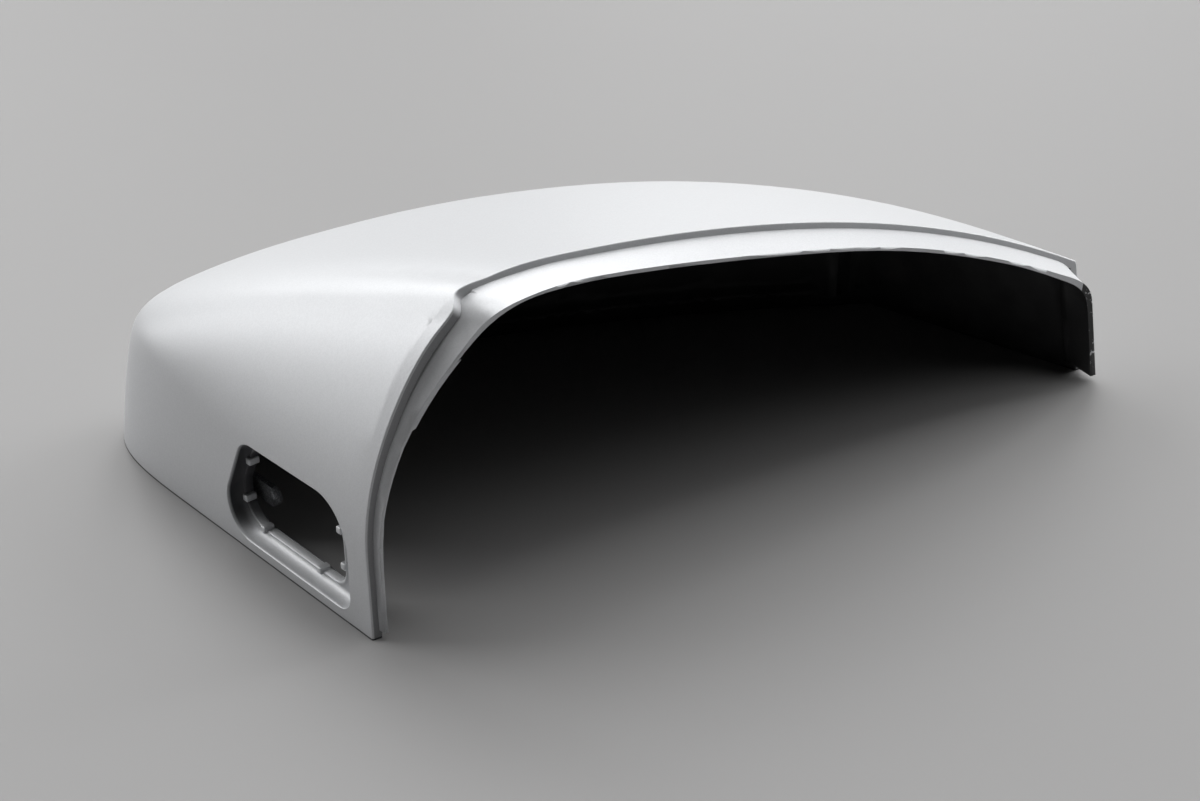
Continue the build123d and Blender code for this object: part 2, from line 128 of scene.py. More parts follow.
@dataclass(frozen=True)
class SkinForm:
    """The skin's own form in the rim frame: four curved faces run softly into one another."""

    # Roof
    roof_height: float = 83.2
    crown_x: float = 61.3
    roof_tilt: float = 3.85
    roof_radius: float = 517.0
    roof_droop: float = 8.5
    roof_fall: float = 13.5
    roof_fall_radius: float = 1600.0
    roof_untwist: float = 0.088
    untwist_width: float = 100.0
    # Window side with its crease
    side_flare: float = 8.5
    side_overhang: float = 5.0
    crease_height: float = 23.2
    crease_rise: float = 10.8
    crease_angle: float = 9.0
    crease_softness: float = 5.0
    shoulder_radius: float = 66.3
    shoulder_length: float = 128.0
    shoulder_end: float = 0.06
    # Far end
    rim_width: float = 238.5
    end_angle: float = 17.5
    end_lean: float = 12.0
    end_spare: float = 25.0
    # Front
    front_depth: float = 131.9
    front_x: float = -6.0
    front_radius: float = 397.0
    front_lean: float = 11.7
    front_curve_radius: float = 200.0
    # Blends between the faces, and the crest on the ridge
    ridge_blend_rear: float = 24.0
    ridge_blend_front: float = 14.0
    crest_height: float = 1.1
    crest_width: float = 7.5
    crest_length: float = 88.0
    corner_blend: float = 54.0
    end_blend: float = 7.0
    # Lip
    hub_share: float = 0.44
    lip_reach: float = 8.0
    lip_foot: float = 2.3
    lip_step: float = 1.25
    side_step: float = 1.9
    lip_dip: float = 3.5
    dip_inside: float = 1.0
    dip_starts: float = 166.0
    dip_ends: float = 132.0
    lip_sag: float = 1.3
    sag_spread: float = 50.0

    def side_x(self, y: Array, z: Array) -> Array:
        """Window side, with the crease above which it leans in."""
        forward = np.clip(y / self.shoulder_length, 0, 1 - self.shoulder_end)
        above = z - self.crease_height - rise(self.crease_rise) * y
        above = soft_larger(above, 0, self.crease_softness)
        kink = rise(self.crease_angle) * forward * above
        bend = above ** 2 / (2 * self.shoulder_radius * (1 - forward))
        return kink + bend - rise(self.side_flare) * (y + self.side_overhang)

    def roof_z(self, x: Array, y: Array) -> Array:
        """Roof, crowned across and falling to the front."""
        across = x - self.crown_x
        droop = self.roof_droop * (across / (self.rim_width - self.crown_x)) ** 3
        fall = rise(self.roof_fall) - self.roof_untwist * across / self.untwist_width
        drop_across = rise(self.roof_tilt) * across + across ** 2 / (2 * self.roof_radius) + droop
        return self.roof_height - drop_across - fall * y - y ** 2 / (2 * self.roof_fall_radius)

    def front_y(self, x: Array, z: Array) -> Array:
        """Front, bowed across and leaning back."""
        bow = (x - self.front_x) ** 2 / (2 * self.front_radius)
        curve = z ** 2 / (2 * self.front_curve_radius)
        return self.front_depth - bow - rise(self.front_lean) * z - curve

    def end_x(self, y: Array, z: Array) -> Array:
        """Flat far end."""
        lean = rise(self.end_lean) / math.cos(math.radians(self.end_angle))
        return self.rim_width - rise(self.end_angle) * y - lean * z

    def beyond(self, face: Callable, height: Array, a: Array, b: Array) -> Array:
        """Distance beyond a face, square to it: the face is a height over the axes a and b."""
        step = 0.1
        slope_a = (face(a + step, b) - face(a - step, b)) / (2 * step)
        slope_b = (face(a, b + step) - face(a, b - step)) / (2 * step)
        return (height - face(a, b)) / np.sqrt(1 + slope_a ** 2 + slope_b ** 2)

    def past_end(self, places: Array) -> Array:
        """Distance beyond the flat far end."""
        x, y, z = places.T
        return self.beyond(self.end_x, x, y, z)

    def outside(self, places: Array) -> Array:
        """Distance outside the roof, side and front together, negative inside."""
        x, y, z = places.T
        side = -self.beyond(self.side_x, x, y, z)
        roof = self.beyond(self.roof_z, z, x, y)
        front = self.beyond(self.front_y, y, x, z)
        forward = np.clip(y / self.shoulder_length, 0, 1)
        ridge = self.ridge_blend_rear + (self.ridge_blend_front - self.ridge_blend_rear) * forward
        walls = soft_larger(front, side, self.corner_blend)
        from_crest = np.minimum(np.abs(walls - roof) / self.crest_width, 1)
        fading = 1 - np.clip(y / self.crest_length, 0, 1)
        crest = self.crest_height * fading * (1 - from_crest ** 2) ** 2
        return soft_larger(walls, roof, ridge) - crest

    def skin(self, places: Array) -> Array:
        """Distance outside the skin, before the flat far end cuts it."""
        end = self.past_end(places) - self.end_spare
        return soft_larger(self.outside(places), end, self.end_spare)

    def lip(self, places: Array) -> Array:
        """Distance outside the lip, which turns down at the far end and dips along its reach."""
        x, y, z = places.T
        angle = np.degrees(np.arctan2(z - self.lip_foot, x - self.hub_share * self.rim_width))
        reach = np.maximum(self.dip_inside - y, 0) / (self.dip_inside + self.lip_reach)
        grown = ease(angle, self.dip_starts, self.dip_ends)
        from_middle = np.minimum(np.abs(angle - QUARTER_TURN) / self.sag_spread, 1)
        sag = self.lip_sag * np.cos(np.radians(QUARTER_TURN * from_middle)) ** 2
        step = self.side_step + (self.lip_step - self.side_step) * grown
        inset = step + (self.lip_dip * grown + sag) * reach
        return soft_larger(self.outside(places), self.past_end(places), self.end_blend) + inset


def facing_of(surface: Callable, places: Array) -> Array:
    """Which way a surface, given as the distance outside it, faces at each point."""
    step = 0.02
    rises = [surface(places + axis) - surface(places - axis) for axis in np.eye(3) * step]
    slope = np.array(rises).T
    return slope / np.linalg.norm(slope, axis=1)[:, None]


# Finishes: lengths in metres


class Wire:
    """A shader socket that takes part in Python sums."""

    def __init__(self, tree: "ShaderTree", socket: bpy.types.NodeSocket) -> None:
        """Keeps the socket and the tree that new nodes go into."""
        self.tree = tree
        self.socket = socket

    def _math(self, operation: str, first: Any, second: Any) -> "Wire":
        """Adds one Math node, by Blender's name of the sum."""
        return self.tree.node("ShaderNodeMath", {"operation": operation}, {0: first, 1: second})

    def __add__(self, other: Any) -> "Wire":
        """Sum."""
        return self._math("ADD", self, other)

    __radd__ = __add__

    def __sub__(self, other: Any) -> "Wire":
        """Difference."""
        return self._math("SUBTRACT", self, other)

    def __rsub__(self, other: Any) -> "Wire":
        """Difference, from the right."""
        return self._math("SUBTRACT", other, self)

    def __mul__(self, other: Any) -> "Wire":
        """Product."""
        return self._math("MULTIPLY", self, other)

    def swing(self, amount: float) -> "Wire":
        """A noise's swing to both sides of its middle, by half the amount."""
        return (self - NOISE_MIDDLE) * amount


@dataclass(frozen=True)
class Noise:
    """A noise texture: repeats in a metre, octaves, and the strength of the finer ones."""

    scale: float
    detail: float = 2.0
    rough: float = 0.5


@dataclass(frozen=True)
class Relief:
    """A bump: the share of it that shows, and its full depth in metres."""

    strength: float
    depth: float


class ShaderTree:
    """A material's nodes, with one call that adds any of them."""

    def __init__(self, material: bpy.types.Material) -> None:
        """Empties the material's tree."""
        material.use_nodes = True
        self.tree = material.node_tree
        self.tree.nodes.clear()

    def node(self, kind: str, settings: dict[str, Any], sockets: Sockets, output: Key = 0) -> Wire:
        """Adds a node.

        Args:
            kind: Blender's type name of the node.
            settings: properties, set before the sockets.
            sockets: values or wires for its inputs, by name or number.
            output: the output that is wanted, by name or number.

        Returns:
            That output as a wire.
        """
        made = self.tree.nodes.new(kind)
        for name, value in settings.items():
            setattr(made, name, value)
        for name, value in sockets.items():
            if isinstance(value, Wire):
                self.tree.links.new(value.socket, made.inputs[name])
            else:
                made.inputs[name].default_value = value
        return Wire(self, made.outputs[output])

    def noise(self, place: Wire, noise: Noise) -> Wire:
        """Adds a noise texture, a value from 0 to 1."""
        sockets = {"Vector": place, "Scale": noise.scale}
        sockets |= {"Detail": noise.detail, "Roughness": noise.rough}
        return self.node("ShaderNodeTexNoise", {}, sockets, "Fac")

    def speckle(self, place: Wire, scale: float) -> Wire:
        """Adds cells, so many in a metre, that each have one random value from 0 to 1."""
        cells = self.node("ShaderNodeTexVoronoi", {}, {"Vector": place, "Scale": scale}, "Color")
        return self.node("ShaderNodeSeparateColor", {}, {"Color": cells}, "Red")

    def soft_step(self, value: Wire, span: Span) -> Wire:
        """Adds a soft step: 0 below the span and 1 above it."""
        sockets = {"Value": value, "From Min": span[0], "From Max": span[1]}
        return self.node("ShaderNodeMapRange", {"interpolation_type": "SMOOTHSTEP"}, sockets)

    def mix(self, factor: Any, first: Any, second: Any) -> Wire:
        """Mixes two colours or wires: the factor is the share of the second."""
        first = first if isinstance(first, Wire) else (*first, 1.0)
        second = second if isinstance(second, Wire) else (*second, 1.0)
        sockets = {"Factor": factor, MIX_FIRST: first, MIX_SECOND: second}
        return self.node("ShaderNodeMix", {"data_type": "RGBA"}, sockets, MIX_RESULT)

    def object_place(self) -> Wire:
        """Object coordinates, in metres."""
        return self.node("ShaderNodeTexCoord", {}, {}, "Object")

    def height(self, place: Wire) -> Wire:
        """Height above the board, in metres."""
        return self.node("ShaderNodeSeparateXYZ", {}, {0: place}, "Z")

    def bump(self, height: Wire, relief: Relief) -> Wire:
        """Adds a bump from a height between 0 and 1: the bumped normal."""
        sockets = {"Strength": relief.strength, "Distance": relief.depth, "Height": height}
        return self.node("ShaderNodeBump", {}, sockets, "Normal")

    def finish(self, sockets: Sockets) -> None:
        """Adds the surface shader and links it to the material's output."""
        shader = self.node("ShaderNodeBsdfPrincipled", {}, sockets)
        output = self.tree.nodes.new("ShaderNodeOutputMaterial")
        self.tree.links.new(shader.socket, output.inputs["Surface"])


@dataclass(frozen=True)
class SurfaceFinish(ABC):
    """A finish that is one surface shader."""

    name: str = "finish"

    @abstractmethod
    def sockets(self, tree: ShaderTree, place: Wire) -> Sockets:
        """The surface shader's inputs, by name, from object coordinates."""

    def build(self) -> bpy.types.Material:
        """Makes the material."""
        material = bpy.data.materials.new(self.name)
        tree = ShaderTree(material)
        tree.finish(self.sockets(tree, tree.object_place()))
        return material


@dataclass(frozen=True)
class SilverPaint(SurfaceFinish):
    """Satin silver paint: fine metal flakes under a dull lacquer."""

    name: str = "satin_silver_paint"
    colour: Triple = (0.66, 0.67, 0.685)
    fleck_colour: Triple = (0.2, 0.2, 0.21)
    metallic: float = 0.62
    roughness: float = 0.56
    coat: float = 0.25
    coat_roughness: float = 0.28
    flakes_per_metre: float = 3400.0
    flake_contrast: float = 0.07
    flake_sheen: float = 0.05
    clouds: Noise = Noise(22.0, 3.0)
    cloud_contrast: float = 0.015
    cloud_sheen: float = 0.03
    peel: Noise = Noise(1500.0, rough=0.6)
    relief: Relief = Relief(0.10, 0.03 * MM)
    # painted contact shadow along the foot: fully dark below the first height, gone above the second
    contact_shadow_span: Span = (0.35 * MM, 0.56 * MM)
    contact_shadow_colour: Triple = (0.05, 0.05, 0.055)
    # colour of the painted shade, laid on where the mesh's shade attribute says
    shade_colour: Triple = (0.05, 0.05, 0.055)

    def sockets(self, tree: ShaderTree, place: Wire) -> Sockets:
        """The paint's inputs, with a painted contact shadow along the foot and painted shade where the
        mesh's shade attribute says.
        """
        flake = tree.speckle(place, self.flakes_per_metre)
        cloud = tree.noise(place, self.clouds)
        tone = flake * self.flake_contrast + cloud * self.cloud_contrast
        colour = tree.mix(tone, self.colour, self.fleck_colour)
        # painted contact shadow: the paint goes dark just above the foot
        contact_shadow = 1 - tree.soft_step(tree.height(place), self.contact_shadow_span)
        colour = tree.mix(contact_shadow, colour, self.contact_shadow_colour)
        # painted shade, by the share that each point of the mesh carries
        shade_share = tree.node("ShaderNodeAttribute", {"attribute_name": SHADE_ATTRIBUTE}, {}, "Fac")
        sheen = flake.swing(self.flake_sheen)
        return {
            "Base Color": tree.mix(shade_share, colour, self.shade_colour),
            "Metallic": self.metallic,
            "Roughness": self.roughness + sheen + cloud.swing(self.cloud_sheen),
            "Normal": tree.bump(tree.noise(place, self.peel), self.relief),
            "Coat Weight": self.coat,
            "Coat Roughness": self.coat_roughness,
        }


@dataclass(frozen=True)
class BareMoulding(SurfaceFinish):
    """Black plastic as it left the tool, with a fine spark grain."""

    name: str = "bare_black_moulding"
    colour: Triple = (0.056, 0.056, 0.0576)
    roughness: float = 0.5
    sheen: float = 0.12
    specular: float = 0.4
    grain: Noise = Noise(2200.0, 3.0, 0.6)
    relief: Relief = Relief(0.35, 0.06 * MM)
    bloom: Noise = Noise(60.0, 4.0)
    bloom_span: Span = (0.4, 0.7)
    bloom_colour: Triple = (0.085, 0.085, 0.087)

    def sockets(self, tree: ShaderTree, place: Wire) -> Sockets:
        """The plastic's inputs, with a paler bloom in patches."""
        grain = tree.noise(place, self.grain)
        bloom = tree.soft_step(tree.noise(place, self.bloom), self.bloom_span)
        return {
            "Base Color": tree.mix(bloom, self.colour, self.bloom_colour),
            "Roughness": self.roughness + grain.swing(self.sheen),
            "Specular IOR Level": self.specular,
            "Normal": tree.bump(grain, self.relief),
        }


@dataclass(frozen=True)
class ChippedPaint(SurfaceFinish):
    """Black moulding with flecks of paint left on it."""

    name: str = "chipped_paint_edge"
    bare: Triple = (0.012, 0.012, 0.013)
    paint: Triple = (0.66, 0.67, 0.685)
    chips: Noise = Noise(700.0, 3.0, 0.6)
    chip_span: Span = (0.60, 0.68)
    metallic: float = 0.7
    roughness: float = 0.55
    paint_gloss: float = 0.1
    relief: Relief = Relief(0.4, 0.1 * MM)

    def sockets(self, tree: ShaderTree, place: Wire) -> Sockets:
        """The edge's inputs: the flecks are glossier than the moulding."""
        patch = tree.noise(place, self.chips)
        painted = tree.soft_step(patch, self.chip_span)
        return {
            "Base Color": tree.mix(painted, self.bare, self.paint),
            "Metallic": painted * self.metallic,
            "Roughness": self.roughness - painted * self.paint_gloss,
            "Normal": tree.bump(patch, self.relief),
        }


@dataclass(frozen=True)
class DustedMoulding(SurfaceFinish):
    """The snap tongue's finish: moulding dusted with silver spray."""

    name: str = "thin_silver_spray"
    bare: Triple = (0.16, 0.165, 0.175)
    spray: Triple = (0.4, 0.41, 0.43)
    metallic: float = 0.5
    roughness: float = 0.42
    sheen: float = 0.1
    specks: Noise = Noise(2400.0, rough=0.6)
    speck_span: Span = (0.45, 0.7)
    relief: Relief = Relief(0.1, 0.05 * MM)

    def sockets(self, tree: ShaderTree, place: Wire) -> Sockets:
        """The tongue's inputs, speckled with spray."""
        speck = tree.noise(place, self.specks)
        sprayed = tree.soft_step(speck, self.speck_span)
        return {
            "Base Color": tree.mix(sprayed, self.bare, self.spray),
            "Metallic": self.metallic,
            "Roughness": self.roughness + speck.swing(self.sheen),
            "Normal": tree.bump(speck, self.relief),
        }


@dataclass(frozen=True)
class StudioBoard(SurfaceFinish):
    """Matt grey board that the cover stands on."""

    name: str = "grey_studio_board"
    colour: Triple = (0.308, 0.305, 0.305)
    speck_colour: Triple = (0.1232, 0.122, 0.122)
    roughness: float = 0.55
    sheen: float = 0.1
    specks: Noise = Noise(2600.0, rough=0.7)
    speck_contrast: float = 0.05
    mottle: Noise = Noise(9.0, 3.0)
    mottle_contrast: float = 0.03
    relief: Relief = Relief(0.05, 0.05 * MM)

    def sockets(self, tree: ShaderTree, place: Wire) -> Sockets:
        """The board's inputs, finely speckled and faintly mottled."""
        speck = tree.noise(place, self.specks)
        tone = speck * self.speck_contrast + tree.noise(place, self.mottle) * self.mottle_contrast
        return {
            "Base Color": tree.mix(tone, self.colour, self.speck_colour),
            "Roughness": self.roughness + speck.swing(self.sheen),
            "Normal": tree.bump(speck, self.relief),
        }


# The shell: lengths in millimetres, angles in degrees


def add_object(name: str, data: bpy.types.ID) -> bpy.types.Object:
    """Adds an object to the scene."""
    made = bpy.data.objects.new(name, data)
    bpy.context.scene.collection.objects.link(made)
    return made


def make_active(piece: bpy.types.Object) -> None:
    """Selects one object alone and makes it active."""
    bpy.ops.object.select_all(action="DESELECT")
    piece.select_set(True)
    bpy.context.view_layer.objects.active = piece


@dataclass(frozen=True)
class FinerForm:
    """An open surface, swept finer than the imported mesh, that lies on the skin by a flange."""

    rim: RimFrame = RimFrame()
    form: SkinForm = SkinForm()
    flange: float = 4.0
    lift: float = 0.03
    sink: float = 0.3
    round_steps: int = 3

    def sweep(self, name: str, rows: list[Array], closed: bool, shade_share: list[Array]) -> bpy.types.Object:
        """Joins rows of points into a surface.

        Args:
            name: the object's name.
            rows: points in the rim frame, as many in each row.
            closed: whether each row runs round to its start.
            shade_share: share of painted shade at each point, by rows.

        Returns:
            The object, linked to the scene.
        """
        count = len(rows[0])
        triangles = []
        for row in range(len(rows) - 1):
            for k in range(count if closed else count - 1):
                a = row * count + k
                b = row * count + (k + 1) % count
                triangles += [(a, a + count, b), (b, a + count, b + count)]
        mesh = bpy.data.meshes.new(name)
        mesh.from_pydata(self.rim.to_part(np.concatenate(rows)).tolist(), [], triangles)
        # the share of painted shade, stored on each point
        shares = mesh.attributes.new(SHADE_ATTRIBUTE, "FLOAT", "POINT")
        shares.data.foreach_set("value", np.concatenate(shade_share))
        return add_object(name, mesh)


@dataclass(frozen=True)
class Margins:
    """How far an outline is drawn in from the window's mouth on each side, and how deep it lies."""

    rear: float
    front: float
    top: float
    low: float
    depth: float
    on_skin: bool = False


@dataclass(frozen=True)
class LampWindow(FinerForm):
    """Recess for the lamp: a rounded mouth, a cove down to a ledge, a beaded opening and its pips."""

    # Mouth, recess, ledge and bead
    rear: float = 8.4
    length: float = 57.6
    top_length: float = 43.1
    low: float = 3.0
    height: float = 29.0
    corners: Sides = (5.0, 9.0, 6.5, 12.0)
    mouth_round: float = 0.45
    recess_depth: float = 4.1
    recess_cove: float = 1.6
    ledges: Sides = (5.0, 0.0, 0.8, 1.0)
    ledge_thickness: float = 2.0
    bead_width: float = 0.6
    bead_height: float = 0.4
    bead_round: float = 0.18
    # painted shade starts on walls that are turned rearwards past this
    shade_from: float = 0.2
    # Steps of the sweep
    flange_steps: int = 6
    cove_steps: int = 10
    settle_steps: int = 6
    arc_points: int = 14
    line_points: int = 10
    # Pips: their places are shares of the mouth's height and length
    pip_size: float = 1.9
    pip_height: float = 1.1
    pip_round: float = 0.35
    pips_up_front: Span = (0.30, 0.72)
    pips_up_rear: Span = (0.30, 0.66)
    pips_along: Span = (0.31, 0.73)

    def axes(self) -> tuple[Array, Array]:
        """Directions along the side wall, forward, and square to it, inwards."""
        turn = math.radians(self.form.side_flare)
        forward = np.array((-math.sin(turn), math.cos(turn), 0.0))
        return forward, np.array((math.cos(turn), math.sin(turn), 0.0))

    def start(self) -> Array:
        """The wall's rear foot, which distances on the wall are measured from."""
        return np.array((0.0, -self.form.side_overhang, 0.0))

    def on_wall(self, places: Array) -> tuple[Array, Array]:
        """Distances forward along the wall, and depths behind its plane, of points."""
        forward, inwards = self.axes()
        from_start = places - self.start()
        return from_start @ forward, from_start @ inwards

    def looks_in(self, facing: Array) -> Array:
        """How squarely faces look into the wall, from -1 to 1."""
        return facing @ self.axes()[1]

    def to_rim(self, along: Array, up: Array, depth: float) -> Array:
        """Points in the rim frame, from distances forward, heights and one depth."""
        forward, inwards = self.axes()
        points = self.start() + along[:, None] * forward + depth * inwards
        points[:, 2] = up
        return points

    def arc(self, corners: Array, number: int, radius: float) -> list[Array]:
        """Points of the arc that rounds one of an outline's sharp corners."""
        corner = corners[number]
        before = corners[number - 1] - corner
        before = before / np.linalg.norm(before)
        after = corners[(number + 1) % len(corners)] - corner
        after = after / np.linalg.norm(after)
        half = math.acos(float(np.dot(before, after))) / 2
        inwards = (before + after) / np.linalg.norm(before + after)
        centre = corner + inwards * radius / math.sin(half)
        x, y = corner + before * radius / math.tan(half) - centre
        points = []
        for k in range(self.arc_points):
            angle = (math.pi - 2 * half) * k / (self.arc_points - 1)
            c = math.cos(angle)
            s = math.sin(angle)
            points.append(centre + np.array((x * c - y * s, x * s + y * c)))
        return points

    def outline(self, margins: Margins) -> Array:
        """Points of the window's outline, drawn in by so much on each side.

        Args:
            margins: the draw on each side; below nothing it runs outside the mouth.

        Returns:
            Distance along the wall and height of each point.
        """
        low = self.low + margins.low
        top = self.low + self.height - margins.top
        rear = self.rear + margins.rear
        front = self.rear + self.length - margins.front
        slant = (self.length - self.top_length) / self.height
        front_low = front - slant * (low - self.low)
        front_top = front - slant * (top - self.low)
        corners = np.array([(rear, low), (front_low, low), (front_top, top), (rear, top)])
        wider = max(-margins.rear, 0.0)
        arcs = [self.arc(corners, i, radius + wider) for i, radius in enumerate(self.corners)]
        outline = []
        for arc, following in zip(arcs, arcs[1:] + arcs[:1]):
            outline += arc
            run = following[0] - arc[-1]
            outline += [arc[-1] + run * k / self.line_points for k in range(1, self.line_points)]
        return np.array(outline)

    def even(self, margin: float, depth: float, on_skin: bool = False) -> Margins:
        """The same margin on each side."""
        return Margins(margin, margin, margin, margin, depth, on_skin)

    def opening(self, margin: float, depth: float) -> Margins:
        """Margins of the opening in the recess's floor."""
        rear, front, top, low = (ledge + self.recess_cove + margin for ledge in self.ledges)
        return Margins(rear, front, top, low, depth)

    def profile(self) -> list[Margins]:
        """Sections from the wall round the mouth, down the cove and through the opening."""
        mouth = self.mouth_round
        sections = [self.even(-mouth - self.flange, self.sink, True)]
        for k in range(1, self.flange_steps):
            out = self.flange * (1 - k / self.flange_steps)
            sections.append(self.even(-mouth - out, 0.0, True))
        for short, depth in rounding(mouth, self.round_steps):
            sections.append(self.even(-short, depth, True))
        floor = self.recess_depth
        for k in range(1, self.cove_steps + 1):
            turn = math.radians(QUARTER_TURN * k / self.cove_steps)
            depth = mouth + (floor - mouth) * math.sin(turn)
            sections.append(self.even(self.recess_cove * (1 - math.cos(turn)), depth))
        bead_top = floor - self.bead_height
        bead = (
            (-self.bead_width - self.bead_round, floor),
            (-self.bead_width, bead_top + self.bead_round),
            (-self.bead_width + self.bead_round, bead_top),
            (-self.bead_round, bead_top),
            (0.0, bead_top + self.bead_round),
            (0.0, floor + self.ledge_thickness),
        )
        return sections + [self.opening(margin, depth) for margin, depth in bead]

    def row(self, section: Margins, lift: float) -> Array:
        """Points of one section: where it follows the skin it lies by a lift above its depth."""
        along, up = self.outline(section).T
        points = self.to_rim(along, np.maximum(up, 0.0), section.depth)
        if section.on_skin:
            inwards = self.axes()[1]
            for _step in range(self.settle_steps):
                points = points + (self.form.skin(points) + section.depth - lift)[:, None] * inwards
        return points

    def rearward_shade(self) -> list[Array]:
        """Share of painted shade: most on the walls of cove and opening that look rearwards."""
        sections = self.profile()
        shares = []
        for section in sections:
            outline = self.outline(section)
            run = np.roll(outline, -1, 0) - np.roll(outline, 1, 0)
            rearwards = run[:, 1] / np.linalg.norm(run, axis=1)
            within = self.mouth_round < section.depth < self.recess_depth or section is sections[-1]
            shares.append(ease(rearwards, self.shade_from, 1.0) * within)
        return shares

    def build(self) -> bpy.types.Object:
        """Sweeps the profile round the outline and sets the pips on the opening's edge."""
        rows = [self.row(section, self.lift) for section in self.profile()]
        window = self.sweep("lamp_window", rows, True, self.rearward_shade())
        for along, up in self.pip_places():
            self.add_pip(window, along, up)
        return window

    def mouth_points(self, margin: float) -> Array:
        """Points on the skin, so far outside the window's mouth."""
        return self.row(self.even(-margin, 0.0, True), 0.0)

    def pip_places(self) -> list[Span]:
        """Distance along the wall and height of each locating pip, on the opening's edge."""
        outline = self.outline(self.opening(0.0, 0.0))
        middle = outline.mean(0)
        behind = outline[outline[:, 0] < middle[0]]
        ahead = outline[outline[:, 0] > middle[0]]
        below = outline[outline[:, 1] < middle[1]]
        places = []
        for edge, shares in ((behind, self.pips_up_rear), (ahead, self.pips_up_front)):
            places += [self.nearest(edge, 1, self.low + share * self.height) for share in shares]
        places += [self.nearest(below, 0, self.rear + share * self.length) for share in self.pips_along]
        return places

    @staticmethod
    def nearest(outline: Array, axis: int, wanted: float) -> Span:
        """Picks the point of an outline that is nearest a distance along one axis."""
        return tuple(outline[np.abs(outline[:, axis] - wanted).argmin()])

    def add_pip(self, window: bpy.types.Object, along: float, up: float) -> None:
        """Models one rounded pip, so far along the wall and so high, and joins it to the window."""
        deep = self.pip_height + self.ledge_thickness
        middle = self.recess_depth - self.pip_height + deep / 2
        place = self.to_rim(np.array([along]), np.array([up]), middle)[0]
        bpy.ops.mesh.primitive_cube_add(size=1.0)
        pip = bpy.context.active_object
        pip.scale = (deep * MM, self.pip_size * MM, self.pip_size * MM)
        pip.rotation_euler = (0.0, 0.0, math.radians(self.form.side_flare))
        pip.location = self.rim.to_part(place)
        bpy.ops.object.transform_apply(location=True, rotation=True, scale=True)
        bpy.ops.object.modifier_add(type="BEVEL")
        bevel = pip.modifiers[-1]
        bevel.width = self.pip_round * MM
        bevel.segments = self.round_steps
        bpy.ops.object.modifier_apply(modifier=bevel.name)
        bpy.ops.object.modifier_add(type="TRIANGULATE")
        bpy.ops.object.modifier_apply(modifier=pip.modifiers[-1].name)
        window.select_set(True)
        bpy.context.view_layer.objects.active = window
        bpy.ops.object.join()


@dataclass(frozen=True)
class RearEdge(FinerForm):
    """Rounded rear edge of the skin: along the side, over the jog and along the roof."""

    lean: float = 1.1
    jog_from: float = 25.3
    jog_to: float = 28.8
    edge_round: float = 0.45
    flange_shares: Triple = (0.75, 0.5, 0.3)
    riser: float = 2.4
    riser_top: float = 0.1
    # painted shade on the riser along the side, which lies in the groove under the lip
    side_shade: float = 0.55
    hub_x: float = 110.0
    first_angle: float = 180.0
    last_angle: float = 1.0
    points: int = 400
    reach: Span = (20.0, 150.0)
    halvings: int = 30

    def angles(self) -> Array:
        """Angles of the edge's points round the hub, from the side's foot over the roof."""
        return np.radians(np.linspace(self.first_angle, self.last_angle, self.points))

    def body(self, places: Array) -> Array:
        """How far outside the skin and its end wall points of the rim frame are."""
        return np.maximum(self.form.skin(places), self.form.past_end(places))

    def on_form(self, y: Array, inset: float) -> Array:
        """Points at each angle, so far forward and so deep under the skin, in the rim frame."""
        angles = self.angles()
        away = np.stack([np.cos(angles), np.zeros_like(angles), np.sin(angles)], 1)
        hub = np.stack([np.full_like(y, self.hub_x), y, np.zeros_like(y)], 1)
        near = np.full_like(y, self.reach[0])
        far = np.full_like(y, self.reach[1])
        for _step in range(self.halvings):
            middle = (near + far) / 2
            outside = self.body(hub + middle[:, None] * away) > -inset
            far = np.where(outside, middle, far)
            near = np.where(outside, near, middle)
        return hub + near[:, None] * away

    def edge(self) -> Array:
        """The rear edge's y at each angle: the side's edge, the jog, then the roof's edge."""
        points = self.on_form(np.full(self.points, -self.form.side_overhang / 2), 0.0)
        side = -self.form.side_overhang + rise(self.lean) * points[:, 2]
        return side * (1 - ease(points[:, 0], self.jog_from, self.jog_to))

    def edge_at(self, places: Array) -> Array:
        """The edge's y at the angle of each of some points of the rim frame."""
        angles = np.arctan2(places[:, 2], places[:, 0] - self.hub_x)
        return np.interp(-angles, -self.angles(), self.edge())

    def profile(self) -> list[Span]:
        """Distance ahead of the edge and depth of each row, from the skin to the riser."""
        rows = [(self.flange, self.sink)]
        rows += [(self.flange * share, -self.lift) for share in self.flange_shares]
        rows += rounding(self.edge_round, self.round_steps)
        return rows + [(0.0, self.edge_round + self.riser_top), (0.0, self.riser)]

    def build(self) -> bpy.types.Object:
        """Sweeps the profile along the edge, with painted shade on the riser along the side."""
        edge = self.edge() - self.lift
        rows = [self.on_form(edge + ahead, depth) for ahead, depth in self.profile()]
        # painted shade on the side's riser, below the rounding
        on_side = (rows[0][:, 0] < self.jog_from) * self.side_shade
        shades = [on_side * (depth > self.edge_round) for _ahead, depth in self.profile()]
        return self.sweep("rear_edge", rows, False, shades)


